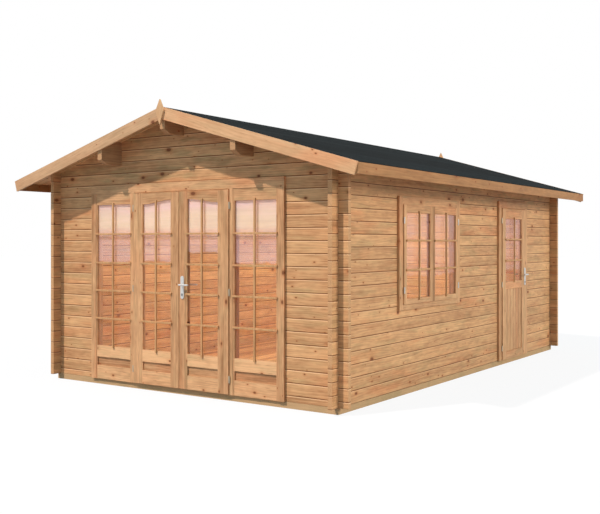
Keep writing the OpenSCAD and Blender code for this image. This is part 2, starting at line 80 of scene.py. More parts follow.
# Side window: edges from its middle outwards, then heights
WINDOW_MIDDLE = -1.002
SASH_PANE = (0.0545, 0.563)
SASH_EDGE = 0.618
FRONT_SASH_PANE = (WINDOW_MIDDLE - SASH_PANE[1], WINDOW_MIDDLE - SASH_PANE[0])
REAR_SASH_PANE = (WINDOW_MIDDLE + SASH_PANE[0], WINDOW_MIDDLE + SASH_PANE[1])
SASH_FOOT = 0.880
SASH_HEAD = 1.8455
SASH_PANE_Z = (0.929, 1.7705)
SASH_BARS = (1.211, 1.497)

# Side door: edges along the wall, then heights
DOOR_EDGES = (0.893, 1.670)
DOOR_PANE = (0.992, 1.526)
PANEL_Z = (0.152, 0.91)
DOOR_PANE_Z = (1.000, 1.765)
DOOR_HEAD = 1.891
DOOR_BARS = (1.255, 1.510)
# Heights that part the rails of door and window, in the door's panel and in the panes
IN_PANEL = 0.5
IN_PANES = 1.3

# Faces of leaves, sidelights and sashes, where the frame has them
LEAF_OUT, LEAF_IN = (corner.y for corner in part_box("front_leaf_right"))
DOOR_IN, DOOR_OUT = (corner.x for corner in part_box("side_door_leaf"))
SIDELIGHT_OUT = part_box("sidelights")[0].y
SASH_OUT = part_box("window_sashes")[1].x

# Bars on the panes: width, thickness, eased edge, and lap on the wood round the pane
BAR_W = 0.018
BAR_T = 0.016
BAR_EASE = 0.003
BAR_LAP = 0.017

# Upright boards on the lower panel of the side door
BOARD_COUNT = 6
BOARD_W = (DOOR_PANE[1] - DOOR_PANE[0]) / BOARD_COUNT
BOARD_T = 0.006
BOARD_SUNK = 0.009
BOARD_EASE = 0.004

# Hinge barrels of the sashes: distance from the window's middle, heights, then size and place of a half.
# An edge whose ends differ less than the slack in height is a rim
SASH_HINGE_REACH = 0.6175
SASH_HINGE_Z = (1.017, 1.692)
BARREL_OUT = 0.004
BARREL_R = 0.0065
BARREL_H = 0.0308
BARREL_STEP = 0.016
BARREL_EASE = 0.0015
RIM_SLACK = 0.001

# Lock cylinders: their places, then head, tail and key slot
PLATE_T = 0.0083
LOCK_Z = 0.978
FRONT_LOCK_X = 0.048
SIDE_LOCK_Y = 1.622
HEAD_R = 0.0085
HEAD_START, HEAD_STEP, HEAD_STEPS = -54, 18, 16
TAIL_HALF = 0.005
TAIL_FOOT = -0.018
LOCK_PROUD = 0.003
SLOT_HALF_W = 0.0007
SLOT_HALF_H = 0.005
SLOT_PROUD = 0.0032

# Painted reflection on the panes, a pale film for a reflected sky: softness of its edge, and where its two
# other tints come in above that edge
REFLECTION_SOFT = 0.01
REFLECTION_RISE = (0.2, 0.38)
REFLECTION_TOP = (0.42, 0.6)

# Lamps in the room: distance from its middle, height and size
FILL_REACH = 1.3
FILL_Z = 1.6
FILL_SIZE = 0.5

# Floor of the studio: half its width, and its drop under the bearers, so that the two don't share a face
GROUND_REACH = 60.0
GROUND_DROP = 0.001

# Camera in metres and degrees, its focal length and the picture's width in pixels
CAMERA_PLACE = (5.7865, -9.1010, 1.4934)
CAMERA_TURN = 34.337
FOCAL = 874.16
PICTURE_W = 600
SENSOR_W = 36
PICTURE_SHIFT = (-0.00737, -0.02685)


class Nodes:
    """A node tree whose nodes are added one call at a time."""

    def __init__(self, tree):
        self.tree = tree
        self.tree.nodes.clear()

    def node(self, kind, inputs=None, **settings):
        node = self.tree.nodes.new("ShaderNode" + kind)
        for key, value in settings.items():
            setattr(node, key, value)
        for key, value in (inputs or {}).items():
            self.link(value, node.inputs[key])
        return node

    def link(self, value, socket):
        if isinstance(value, bpy.types.NodeSocket):
            self.tree.links.new(value, socket)
        else:
            socket.default_value = value

    def math(self, operation, a, b=0.0, c=0.0, clamp=False):
        return self.node("Math", {0: a, 1: b, 2: c}, operation=operation, use_clamp=clamp).outputs[0]

    def seen(self):
        """1 for rays that show a thing to the eye: straight on, mirrored or through glass."""
        rays = self.node("LightPath").outputs
        bounced = self.math("MAXIMUM", rays["Is Glossy Ray"], rays["Is Transmission Ray"])
        return self.math("MAXIMUM", rays["Is Camera Ray"], bounced)


class Shader(Nodes):
    """A material in object coordinates, or in those of the right half for both halves."""

    def __init__(self, name, mirrored=False):
        self.material = bpy.data.materials.new(name)
        self.material.use_nodes = True
        super().__init__(self.material.node_tree)
        self.output = self.node("OutputMaterial")
        coordinates = self.node("TexCoord")
        self.normal = coordinates.outputs["Normal"]
        self.place = coordinates.outputs["Object"]
        self.x, self.y, self.z = self.split(self.place)
        if mirrored:
            self.x = self.math("ABSOLUTE", self.x)
            self.place = self.join(self.x, self.y, self.z)

    def split(self, vector):
        return self.node("SeparateXYZ", {0: vector}).outputs[0:3]

    def join(self, x, y, z):
        return self.node("CombineXYZ", {0: x, 1: y, 2: z}).outputs[0]

    def scaled(self, x, y, z):
        """The place with each coordinate times a number."""
        parts = zip((self.x, self.y, self.z), (x, y, z))
        return self.join(*(self.math("MULTIPLY", part, factor) for part, factor in parts))

    def dot(self, a, b):
        return self.node("VectorMath", {0: a, 1: b}, operation="DOT_PRODUCT").outputs["Value"]

    def noise(self, vector, detail=2.0, roughness=0.5, scale=1.0):
        inputs = {"Vector": vector, "Scale": scale, "Detail": detail, "Roughness": roughness}
        return self.node("TexNoise", inputs).outputs[0]

    def chance(self, number):
        return self.node("TexWhiteNoise", {"W": number}, noise_dimensions="1D")

    def ramp(self, value, low, high, start=0.0, end=1.0):
        inputs = {0: value, 1: low, 2: high, 3: start, 4: end}
        return self.node("MapRange", inputs, interpolation_type="SMOOTHSTEP").outputs[0]

    def fade(self, value, low, high, start=1.0):
        """A ramp down to nothing."""
        return self.ramp(value, low, high, start, 0.0)

    def shift(self, base, noise, share, clamp=False):
        """The base with some of a noise added, which is taken about its middle."""
        return self.math("MULTIPLY_ADD", self.math("SUBTRACT", noise, 0.5), share, base, clamp)

    def blend(self, factor, a, b, mode="MIX"):
        node = self.node("Mix", {0: factor, 6: a, 7: b}, data_type="RGBA", blend_type=mode)
        return node.outputs[2]

    def between(self, factor, a, b):
        return self.node("Mix", {0: factor, 2: a, 3: b}, data_type="FLOAT").outputs[0]

    def inside(self, value, low, high):
        above = self.math("GREATER_THAN", value, low)
        return self.math("MULTIPLY", above, self.math("LESS_THAN", value, high))

    def steps(self, value, edges, levels):
        """One of the levels, picked by the edges that the value has passed."""
        total = levels[0]
        for edge, below, above in zip(edges, levels, levels[1:]):
            passed = self.math("GREATER_THAN", value, edge)
            total = self.math("MULTIPLY_ADD", passed, above - below, total)
        return total

    def surface(self, inputs, height=None, strength=0.3, distance=0.003):
        principled = self.node("BsdfPrincipled", inputs)
        if height is not None:
            bump = self.node("Bump", {"Height": height, "Strength": strength, "Distance": distance})
            self.link(bump.outputs[0], principled.inputs["Normal"])
        self.link(principled.outputs[0], self.output.inputs[0])
        return self.material


def rgb(red, green, blue):
    """A colour written as it looks on the screen, from 0 to 255."""
    linear = []
    for value in (red, green, blue):
        part = value / 255
        linear.append(part / 12.92 if part <= 0.04045 else ((part + 0.055) / 1.055) ** 2.4)
    return (*linear, 1.0)


PALE = rgb(232, 180, 127)
DEEP = rgb(172, 120, 80)
KNOT = rgb(104, 52, 26)
RING = rgb(160, 100, 58)
DASH = rgb(138, 82, 44)
LINE = rgb(112, 54, 14)
# Painted highlight: the pale band on the top edge of the log under each joint
PAINTED_HIGHLIGHT = rgb(250, 206, 158)
END_DARK = rgb(178, 128, 84)
END_PALE = rgb(216, 168, 122)
JOINERY_PALE = rgb(235, 182, 132)
JOINERY_DEEP = rgb(168, 118, 79)
BAR_PALE = rgb(216, 168, 118)
BAR_DEEP = rgb(176, 128, 84)
# Casts over the wood: damp patches, warm patches and the halo of a knot
OLIVE = (0.66, 0.78, 0.76, 1)
BLUSH = (1.0, 0.85, 0.80, 1)
FLUSH = (0.93, 0.74, 0.64, 1)

# Grain: how far apart the boards lie in the noise, and the waves of the growth rings to a metre
BOARD_REACH = 37.0
LAYER_REACH = 9.0
RING_WAVES = 260.0
RING_DRIFT = 46.0
# Knots: the grain is squeezed so that they are longer than wide, and a far one leaves its cell without
KNOT_SQUEEZE = 0.6
NO_KNOT = 100.0
# Joints between courses: where the seam fades over and under the joint, reaching further over it as painted
# shade, and where the painted highlight under it lies
SEAM_OVER = (0.002, 0.0075)
SEAM_UNDER = (0.001, 0.003)
HIGHLIGHT_STARTS = (0.003, 0.005)
HIGHLIGHT_ENDS = (0.007, 0.012)
MIDDLE_TONE = 0.52


class Wood(Shader):
    """Planed softwood, with u along the grain, v across it and w into the board."""

    def __init__(self, name, along, across, turned, mirrored):
        super().__init__(name, mirrored)
        self.u = self.dot(self.place, along)
        self.v = self.dot(self.place, across)
        self.w = self.dot(self.place, tuple(Vector(along).cross(Vector(across))))
        if turned:
            mask = turned(self)
            self.u, self.v = self.between(mask, self.u, self.v), self.between(mask, self.v, self.u)

    def course(self, seed, first, pitch, level):
        """Number of the log or board at a level, and the distances to the joints below and above."""
        passed = self.math("DIVIDE", self.math("SUBTRACT", level, first), pitch)
        number = self.math("ADD", self.math("FLOOR", passed), seed)
        above = self.math("MULTIPLY", self.math("FRACT", passed), pitch)
        return number, (above, self.math("SUBTRACT", pitch, above))

    def cut(self, number):
        """Gives the board of that number its own lots, stretch of grain, streaks, clouds and fibres."""
        own = self.chance(number)
        self.lot = own.outputs["Value"]
        _, self.damp_lot, self.warm_lot = self.split(own.outputs["Color"])
        self.grain = self.math("MULTIPLY_ADD", self.lot, BOARD_REACH, self.u)
        self.layer = self.math("MULTIPLY", self.damp_lot, LAYER_REACH)
        self.streak = self.field(stretch=1.6, fine=42.0, detail=4.0, roughness=0.62)
        self.cloud = self.field(stretch=1.7, fine=8.0, detail=3.0)
        self.fibre = self.field(stretch=14.0, fine=420.0, detail=1.0)

    def field(self, stretch, fine, detail, roughness=0.5, shift=0.0):
        """Noise drawn out along the grain."""
        along = self.math("MULTIPLY_ADD", self.grain, stretch, shift)
        across = self.math("MULTIPLY", self.v, fine)
        depth = self.math("MULTIPLY_ADD", self.w, fine, self.layer)
        return self.noise(self.join(along, across, depth), detail, roughness)

    def knot_field(self, scale, share, small, large):
        """Round spots, one in some of the cells: how far out of its knot a point is, in knot radii."""
        place = self.join(self.math("MULTIPLY", self.grain, KNOT_SQUEEZE), self.v, 0.0)
        cells = self.node("TexVoronoi", {"Vector": place, "Scale": scale}, voronoi_dimensions="2D")
        lot, size, _ = self.split(cells.outputs["Color"])
        radius = self.math("MULTIPLY_ADD", self.math("MULTIPLY", size, size), large - small, small)
        reach = self.math("DIVIDE", self.math("DIVIDE", cells.outputs["Distance"], scale), radius)
        return self.math("MULTIPLY_ADD", self.math("GREATER_THAN", lot, share), NO_KNOT, reach)

    def clean(self, tone, deep, pale):
        """Wood without marks: a tone, varied by growth rings cut flat and by noise along the grain."""
        drift = self.math("MULTIPLY", self.field(stretch=0.9, fine=5.0, detail=2.0), RING_DRIFT)
        rings = self.math("MULTIPLY_ADD", self.v, RING_WAVES, drift)
        rings = self.math("SINE", self.math("MULTIPLY_ADD", self.w, RING_WAVES, rings))
        mottle = self.field(stretch=9.0, fine=26.0, detail=1.0, shift=70.0)
        for noise, share in ((self.streak, 1.1), (self.cloud, 0.9), (mottle, 0.55)):
            tone = self.shift(tone, noise, share)
        tone = self.math("MULTIPLY_ADD", rings, 0.09, tone)
        return self.blend(self.shift(tone, self.fibre, 0.3, clamp=True), deep, pale)

    def stained(self, colour, olive):
        """Damp and warm patches, more on some boards than on others."""
        damp = self.field(stretch=2.4, fine=12.0, detail=3.0, roughness=0.55, shift=50.0)
        share = self.math("MULTIPLY_ADD", self.damp_lot, 0.6 * olive, 0.4 * olive)
        damp = self.math("MULTIPLY", self.ramp(damp, 0.46, 0.66), share)
        warm = self.field(stretch=1.3, fine=7.0, detail=2.0, shift=-30.0)
        warm = self.math("MULTIPLY", self.ramp(warm, 0.48, 0.68), self.warm_lot)
        colour = self.blend(damp, colour, OLIVE, "MULTIPLY")
        return self.blend(warm, colour, BLUSH, "MULTIPLY")

    def knotted(self, colour, share):
        """Large and small knots with ring and halo, and short dark dashes. Gives the knots' cores too."""
        large = self.knot_field(scale=4.6, share=share, small=0.006, large=0.021)
        small = self.knot_field(scale=9.0, share=0.5 * share, small=0.003, large=0.007)
        knot = self.math("MINIMUM", large, small)
        core = self.fade(knot, 0.6, 1.1)
        dash = self.field(stretch=7.0, fine=130.0, detail=2.0, roughness=0.6, shift=20.0)
        dash = self.ramp(dash, 0.60, 0.72, end=0.4)
        colour = self.blend(self.fade(knot, 1.2, 3.8, start=0.5), colour, FLUSH, "MULTIPLY")
        colour = self.blend(dash, colour, DASH)
        colour = self.blend(self.fade(knot, 1.0, 1.8, start=0.45), colour, RING)
        return self.blend(self.math("MULTIPLY", core, 0.8), colour, KNOT), core

    def end_grained(self, colour, along, share):
        """End grain where the surface faces along the fibres."""
        end = self.ramp(self.math("ABSOLUTE", self.dot(self.normal, along)), 0.8, 0.95, end=share)
        across, depth = (self.math("MULTIPLY", part, 25.0) for part in (self.v, self.w))
        bands = self.math("SINE", self.math("MULTIPLY", self.noise(self.join(across, depth, self.lot)), 90.0))
        own = self.blend(self.math("MULTIPLY_ADD", bands, 0.3, 0.5), END_DARK, END_PALE)
        return self.blend(end, colour, own)

    def jointed(self, colour, height, joint, line, highlight):
        """Joints between courses: a dark seam that breaks up here and there, partly the joint's own dark and
        partly painted shade on the upper log's underside, and a painted highlight under it.
        """
        above, below = joint
        # The seam is partly the joint's own dark and partly painted shade, reaching further over the joint
        # onto the upper log's underside
        seam = self.math("MAXIMUM", self.fade(above, *SEAM_OVER), self.fade(below, *SEAM_UNDER))
        # Painted highlight: a pale band on the top edge of the log below, just under the joint
        edge = self.math("MULTIPLY", self.ramp(below, *HIGHLIGHT_STARTS), self.fade(below, *HIGHLIGHT_ENDS, start=highlight))
        colour = self.blend(edge, colour, PAINTED_HIGHLIGHT)
        broken = self.ramp(self.cloud, 0.3, 0.6, 0.7, 1.0)
        dark = self.math("MULTIPLY", self.math("MULTIPLY", seam, line), broken)
        return self.blend(dark, colour, LINE), self.math("SUBTRACT", height, seam)


def wood(name, along, across, seed, courses=None, turned=None, members=None, pale=PALE, deep=DEEP,
         knots=0.5, line=0.9, highlight=0.0, spread=0.24, olive=0.62, end_share=0.7, mirrored=False):
    """Planed softwood: grain along one direction, tone by course or member, knots, joints and end grain.

    knots is the share of cells with a knot, line and highlight say how strong a joint's seam, partly painted
    shade, and the painted highlight under it are, spread how far boards differ in tone, olive how damp they
    look and end_share how much end grain shows.
    """
    s = Wood(name, along, across, turned, mirrored)
    number = seed
    joint = tone = None
    if courses:
        number, joint = s.course(seed, *courses(s))
    if members:
        number, tone = members(s, seed)
    s.cut(number)
    if tone is None:
        tone = s.shift(MIDDLE_TONE, s.lot, spread)
    colour = s.stained(s.clean(tone, deep, pale), olive)
    colour, core = s.knotted(colour, knots)
    colour = s.end_grained(colour, along, end_share)
    height = s.math("MULTIPLY_ADD", s.streak, 0.5, s.math("MULTIPLY", s.fibre, 0.25))
    height = s.math("MULTIPLY_ADD", core, -0.35, height)
    if joint:
        colour, height = s.jointed(colour, height, joint, line, highlight)
    gloss = s.math("MULTIPLY_ADD", s.streak, 0.2, 0.5)
    inputs = {"Base Color": colour, "Roughness": gloss, "Specular IOR Level": 0.2}
    return s.surface(inputs, height, strength=0.35)


# Courses: a joint's place, the distance between joints, and the coordinate they are measured along
def front_courses(s):
    return FRONT_JOINT, COURSE, s.z


def side_courses(s):
    return SIDE_JOINT, COURSE, s.z


def panel_courses(s):
    return DOOR_PANE[0], BOARD_W, s.y


def floor_courses(s):
    return 0.0, FLOOR_BOARD, s.x


def roof_courses(s):
    return 0.0, ROOF_BOARD, s.y


# Joinery: tones run from 0 for deep to 1 for pale, of uprights along the wall and of rails upwards
FIRST_RAIL = 20
FRONT_UPRIGHT_TONES = (0.45, 0.5, 0.5, 0.56, 0.5, 0.36, 0.36, 0.5, 0.44, 0.48, 0.5, 0.38)
# The front rails' second tone, 0.24 for the sunk panel, is partly the wood's tone and partly painted shade of
# its recess
FRONT_RAIL_TONES = (0.70, 0.24, 0.90, 0.5, 0.5, 0.55)
# The window's 0.12 is painted shade: the rear sash's meeting stile, darkened for the shade in the gap between
# the sashes
WINDOW_UPRIGHT_TONES = (0.5, 0.6, 0.5, 0.45, 0.12, 0.5, 0.55, 0.5)
WINDOW_RAIL_TONES = (0.5, 0.55, 0.45, 0.5)
DOOR_UPRIGHT_TONES = (0.5, 0.6, 0.5, 0.5, 0.55)
DOOR_RAIL_TONES = (0.5, 0.55, 0.5, 0.45)


def both_sides(middle, reaches):
    """Edges at some distances to both sides of a middle, with the middle itself, in order."""
    before = [middle - reach for reach in reversed(reaches)]
    return [*before, middle, *(middle + reach for reach in reaches)]


def joinery(s, seed, mask, through, place, edges, tones, rail_edges, rail_tones):
    """Number and tone of each upright, each rail between two uprights and each rail that runs through."""
    upright = s.steps(place, edges, range(len(tones)))
    rail = s.steps(s.z, rail_edges, range(FIRST_RAIL, FIRST_RAIL + len(rail_tones)))
    upright = s.math("MULTIPLY", upright, s.math("SUBTRACT", 1.0, through))
    number = s.math("ADD", s.math("MULTIPLY_ADD", mask, rail, upright), seed)
    tone = s.between(mask, s.steps(place, edges, tones), s.steps(s.z, rail_edges, rail_tones))
    return number, tone


def front_head(s):
    return s.math("GREATER_THAN", s.z, FRONT_HEAD)


def front_rails(s):
    """Where the grain of the front joinery lies level: rails between stiles, and the head."""
    reach = s.math("ABSOLUTE", s.x)
    rails = s.math("ADD", s.inside(reach, *LEAF_PANE), s.inside(reach, *SIDELIGHT_PANE))
    return s.math("MAXIMUM", rails, front_head(s))


def front_members(s, seed):
    edges = both_sides(0.0, (*LEAF_PANE, LEAF_EDGE, POST_EDGE, SET_EDGE))
    rail_edges = (BOTTOM_RAIL_TOP, SUNK_PANEL_TOP, FRONT_PANE_FOOT, FRONT_TOP_RAIL, FRONT_HEAD)
    return joinery(s, seed, front_rails(s), front_head(s), s.x, edges, FRONT_UPRIGHT_TONES,
                   rail_edges, FRONT_RAIL_TONES)


def window_ends(s):
    """Head and foot of the window's frame, between its jambs."""
    ends = s.math("ADD", s.math("GREATER_THAN", s.z, SASH_HEAD), s.math("LESS_THAN", s.z, SASH_FOOT))
    return s.math("MULTIPLY", ends, s.inside(s.y, WINDOW_MIDDLE - SASH_EDGE, WINDOW_MIDDLE + SASH_EDGE))


def window_rails(s):
    """Where the grain of the window lies level: rails of the sashes, head and foot."""
    rails = s.math("ADD", s.inside(s.y, *FRONT_SASH_PANE), s.inside(s.y, *REAR_SASH_PANE))
    return s.math("MAXIMUM", rails, window_ends(s))


def window_members(s, seed):
    edges = both_sides(WINDOW_MIDDLE, (*SASH_PANE, SASH_EDGE))
    rail_edges = (SASH_FOOT, IN_PANES, SASH_HEAD)
    return joinery(s, seed, window_rails(s), window_ends(s), s.y, edges, WINDOW_UPRIGHT_TONES,
                   rail_edges, WINDOW_RAIL_TONES)


def door_head(s):
    return s.math("GREATER_THAN", s.z, DOOR_HEAD)


def door_rails(s):
    """Where the grain of the side door lies level: its rails without the panel, and the head."""
    not_panel = s.math("SUBTRACT", 1.0, s.inside(s.z, *PANEL_Z))
    rails = s.math("MULTIPLY", s.inside(s.y, *DOOR_PANE), not_panel)
    return s.math("MAXIMUM", rails, door_head(s))


def door_members(s, seed):
    edges = (DOOR_EDGES[0], *DOOR_PANE, DOOR_EDGES[1])
    rail_edges = (IN_PANEL, IN_PANES, DOOR_HEAD)
    return joinery(s, seed, door_rails(s), door_head(s), s.y, edges, DOOR_UPRIGHT_TONES,
                   rail_edges, DOOR_RAIL_TONES)


# Log walls, each with its own strength of painted highlight under the joints
logs_front_left = wood("logs_front_left", X, Z, 11.0, front_courses, highlight=0.75)
logs_front_right = wood("logs_front_right", X, Z, 47.0, front_courses, highlight=0.75)
# Gable logs: more olive, partly damp patches and partly a painted cooler cast for the shade the gable lies in
logs_gable = wood("logs_gable", X, Z, 83.0, front_courses, highlight=0.5, olive=0.85)
logs_back = wood("logs_back", X, Z, 131.0, front_courses, highlight=0.5)
logs_left = wood("logs_left", Y, Z, 171.0, side_courses, highlight=0.4)
logs_right = wood("logs_right", Y, Z, 211.0, side_courses, highlight=0.4)
logs_right_rear = wood("logs_right_rear", Y, Z, 263.0, side_courses, highlight=0.4)
# Purlins: wood darkened as painted shade for their sides, while their end faces keep the paler end grain
beam = wood("purlin_wood", Y, Z, 5.0, pale=rgb(196, 152, 110), deep=rgb(144, 102, 68), knots=0.25)
trim_right = wood("trim_right", SLOPE, RISE, 3.0, pale=rgb(231, 181, 135), deep=rgb(199, 148, 104),
                  knots=0.3, olive=0.3, end_share=0.2)
trim_left = wood("trim_left", LEFT_SLOPE, LEFT_RISE, 4.0, pale=rgb(223, 178, 136), deep=rgb(187, 142, 103),
                 knots=0.3, olive=0.3, end_share=0.2)
trim_level = wood("trim_level", Y, Z, 7.0, pale=rgb(190, 136, 88), deep=rgb(148, 100, 60), olive=0.4)
trim_point = wood("trim_point", Z, X, 9.0, pale=rgb(228, 182, 136), deep=rgb(196, 148, 104),
                  knots=0.0, olive=0.2)
joinery_front = wood("joinery_front", Z, X, 21.0, turned=front_rails, members=front_members,
                     pale=JOINERY_PALE, deep=JOINERY_DEEP, knots=0.4)
joinery_window = wood("joinery_window", Z, Y, 423.0, turned=window_rails, members=window_members,
                      pale=JOINERY_PALE, deep=JOINERY_DEEP, knots=0.2)
joinery_door = wood("joinery_door", Z, Y, 525.0, turned=door_rails, members=door_members,
                    pale=JOINERY_PALE, deep=JOINERY_DEEP, knots=0.2)
bar_front = wood("bar_front", Z, X, 31.0, pale=BAR_PALE, deep=BAR_DEEP, knots=0.0, olive=0.4)
bar_side = wood("bar_side", Z, Y, 33.0, pale=BAR_PALE, deep=BAR_DEEP, knots=0.0, olive=0.4)
panel_boards = wood("panel_boards", Z, Y, 35.0, panel_courses, pale=JOINERY_PALE, deep=JOINERY_DEEP,
                    knots=0.2, line=0.3)
floor_boards = wood("floor_boards", Y, X, 301.0, floor_courses, line=0.7, spread=0.7)
roof_boards = wood("roof_boards", SLOPE, Y, 341.0, roof_courses, line=0.7, spread=0.7, mirrored=True)


def treated():
    """Sawn bearers, greyer in patches than the logs over them."""
    s = Shader("treated_wood")
    saw = s.noise(s.scaled(6.0, 6.0, 150.0), detail=4.0, roughness=0.65)
    patch = s.noise(s.place, detail=3.0, scale=3.5)
    colour = s.blend(saw, rgb(172, 136, 98), rgb(216, 176, 130))
    colour = s.blend(s.ramp(patch, 0.42, 0.68, end=0.45), colour, OLIVE, "MULTIPLY")
    inputs = {"Base Color": colour, "Roughness": 0.85, "Specular IOR Level": 0.15}
    return s.surface(inputs, saw, strength=0.5)


def felt():
    """Mineral-faced roofing felt: dark slate granules on strips that lap along the roof."""
    s = Shader("roofing_felt", mirrored=True)
    slope = s.dot(s.place, SLOPE)
    strip = s.math("DIVIDE", s.math("ADD", slope, FELT_START), FELT_STRIP)
    along_strip = s.math("FRACT", strip)
    part = s.math("MULTIPLY", along_strip, FELT_STRIP)
    shadow = s.fade(part, *FELT_SHADOW, start=0.75)
    worn = s.math("MULTIPLY", s.ramp(part, *WORN_STARTS, end=0.5), s.fade(part, *WORN_ENDS))
    own = s.chance(s.math("FLOOR", strip)).outputs["Value"]
    grains = s.noise(s.place, roughness=0.7, scale=420.0)
    wash = s.join(s.math("MULTIPLY", slope, 7.0), s.math("MULTIPLY", s.y, 0.9), own)
    wash = s.noise(wash, detail=5.0, roughness=0.65)
    level = s.math("MULTIPLY_ADD", own, 0.35, s.ramp(wash, 0.3, 0.75, end=0.6))
    colour = s.blend(level, rgb(7, 11, 12), rgb(22, 29, 31))
    colour = s.blend(s.ramp(grains, 0.55, 0.75, end=0.35), colour, rgb(38, 45, 47))
    colour = s.blend(worn, colour, rgb(48, 56, 58))
    colour = s.blend(shadow, colour, rgb(4, 6, 6))
    height = s.math("MULTIPLY_ADD", grains, 0.6, along_strip)
    inputs = {"Base Color": colour, "Roughness": 0.95, "Specular IOR Level": 0.05}
    return s.surface(inputs, height, strength=0.4)


def steel(name, dark, bright):
    """Satin metal with fine upright brushing."""
    s = Shader(name)
    brush = s.noise(s.scaled(900.0, 900.0, 25.0))
    smudge = s.noise(s.place, scale=30.0)
    rough = s.math("MULTIPLY_ADD", smudge, 0.2, 0.22)
    inputs = {"Base Color": s.blend(brush, dark, bright), "Metallic": 0.5, "Roughness": rough}
    return s.surface(inputs, brush, strength=0.1, distance=0.0005)


def glass(name, axis, edge, lift, painted_reflection, reflection_tints):
    """Clear panes with a painted reflection of a pale sky: a thin pale film lit by the lamps, denser above an
    uneven edge that lies higher over one stretch.
    """
    s = Shader(name)
    place = (s.x, s.y)[axis]
    start, stop, step = lift
    low, middle, high = painted_reflection
    rough = s.noise(s.join(s.math("MULTIPLY", place, 1.6), 0.0, 4.0), detail=1.0)
    fine = s.noise(s.join(s.math("MULTIPLY", place, 15.0), 0.0, 9.0))
    level = s.shift(s.shift(s.z, rough, 0.09), fine, 0.05)
    level = s.math("MULTIPLY_ADD", s.inside(place, start, stop), -step, level)
    above = s.ramp(level, edge - REFLECTION_SOFT, edge + REFLECTION_SOFT)
    rise = s.ramp(s.z, edge + REFLECTION_RISE[0], edge + REFLECTION_RISE[1])
    top = s.ramp(s.z, edge + REFLECTION_TOP[0], edge + REFLECTION_TOP[1])
    bands = s.join(s.math("MULTIPLY", place, 0.9), 0.0, s.math("MULTIPLY", s.z, 13.0))
    bands = s.math("SUBTRACT", s.noise(bands, detail=3.0, roughness=0.6), 0.5)
    strength = s.math("MULTIPLY_ADD", rise, high - middle, middle)
    strength = s.math("MULTIPLY_ADD", bands, 0.3, strength)
    tint = s.blend(s.math("MULTIPLY_ADD", bands, 1.5, rise, clamp=True), reflection_tints[0], reflection_tints[1])
    tint = s.blend(s.math("MULTIPLY_ADD", bands, 2.0, top, clamp=True), tint, reflection_tints[2])
    # Painted reflection: more of the film where the pane is seen at a slant
    slant = s.math("POWER", s.node("LayerWeight", {"Blend": 0.5}).outputs["Facing"], 4.0)
    reflection_amount = s.math("MULTIPLY_ADD", slant, 0.3, s.between(above, low, strength), clamp=True)
    shade = s.math("MULTIPLY", s.node("LightPath").outputs["Is Shadow Ray"], 0.5)
    return s.surface({"Base Color": tint, "Roughness": 0.05, "Alpha": s.math("MAXIMUM", reflection_amount, shade)})


# Strengths and tints of the painted reflection of a pale, pinkish sky, for the front panes and the side panes
front_panes = glass("front_glass", 0, edge=1.287, lift=(0.05, 0.55, 0.093), painted_reflection=(0.03, 0.21, 0.47),
                    reflection_tints=((0.95, 0.69, 0.70, 1), (1.0, 0.82, 0.62, 1), (0.98, 0.72, 0.69, 1)))
side_panes = glass("side_glass", 1, edge=1.15, lift=(0.9, 1.6, -0.01), painted_reflection=(0.03, 0.16, 0.19),
                   reflection_tints=((0.88, 0.55, 0.49, 1), (0.78, 0.53, 0.52, 1), (0.72, 0.52, 0.53, 1)))
metal = steel("satin_steel", rgb(182, 180, 176), rgb(232, 230, 225))
hinge_metal = steel("hinge_metal", rgb(158, 144, 120), rgb(210, 197, 172))
lock_metal = steel("lock_metal", rgb(84, 84, 86), rgb(128, 128, 128))
# Key slot: painted shade, a near-black sheet standing for the shadow inside the keyhole
painted_slot_shade = steel("painted_slot_shade", rgb(26, 26, 28), rgb(60, 60, 64))
MATERIALS = {
    "base_frame": treated(), "floor": floor_boards,
    "front_wall_left": logs_front_left, "front_wall_right": logs_front_right, "front_gable": logs_gable,
    "back_wall": logs_back, "left_wall": logs_left,
    "right_wall_lower": logs_right, "right_wall_front": logs_right, "right_wall_middle": logs_right,
    "right_wall_top": logs_right, "right_wall_rear": logs_right_rear,
    "ridge_purlin": beam, "left_purlin": beam, "right_purlin": beam,
    "roof_deck_left": roof_boards, "roof_deck_right": roof_boards, "roof_felt": felt(),
    "front_barge_left": trim_left, "front_barge_right": trim_right,
    "back_barge_left": trim_left, "back_barge_right": trim_right,
    "left_fascia": trim_level, "right_fascia": trim_level,
    "front_finial": trim_point, "back_finial": trim_point,
    "front_frame": joinery_front, "sidelights": joinery_front,
    "front_leaf_left": joinery_front, "front_leaf_right": joinery_front,
    "window_frame": joinery_window, "window_sashes": joinery_window,
    "side_door_frame": joinery_door, "side_door_leaf": joinery_door,
    "sidelight_glass": front_panes, "front_glass_left": front_panes, "front_glass_right": front_panes,
    "window_glass": side_panes, "side_door_glass": side_panes,
    "front_handle": metal, "side_door_handle": metal, "door_hinges": hinge_metal,
    "front_left_knuckles": hinge_metal, "front_right_knuckles": hinge_metal,
    "side_door_knuckles": hinge_metal,
}
for name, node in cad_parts.items():
    node.data.materials.clear()
    node.data.materials.append(MATERIALS[name])


def strip(bm, low, high, front, ease):
    """One bar or board between two corners, its edges eased where it stands out towards front."""
    corners = [(x, y, z) for x in (low[0], high[0]) for y in (low[1], high[1]) for z in (low[2], high[2])]
    verts = [bm.verts.new(corner) for corner in corners]
    faces = [(0, 1, 3, 2), (4, 6, 7, 5), (0, 4, 5, 1), (2, 3, 7, 6), (0, 2, 6, 4), (1, 5, 7, 3)]
    made = [bm.faces.new([verts[i] for i in face]) for face in faces]
    outer = max(made, key=lambda face: face.calc_center_median().dot(front))
    bmesh.ops.bevel(bm, geom=list(outer.edges), offset=ease, segments=2, profile=0.6, affect="EDGES")


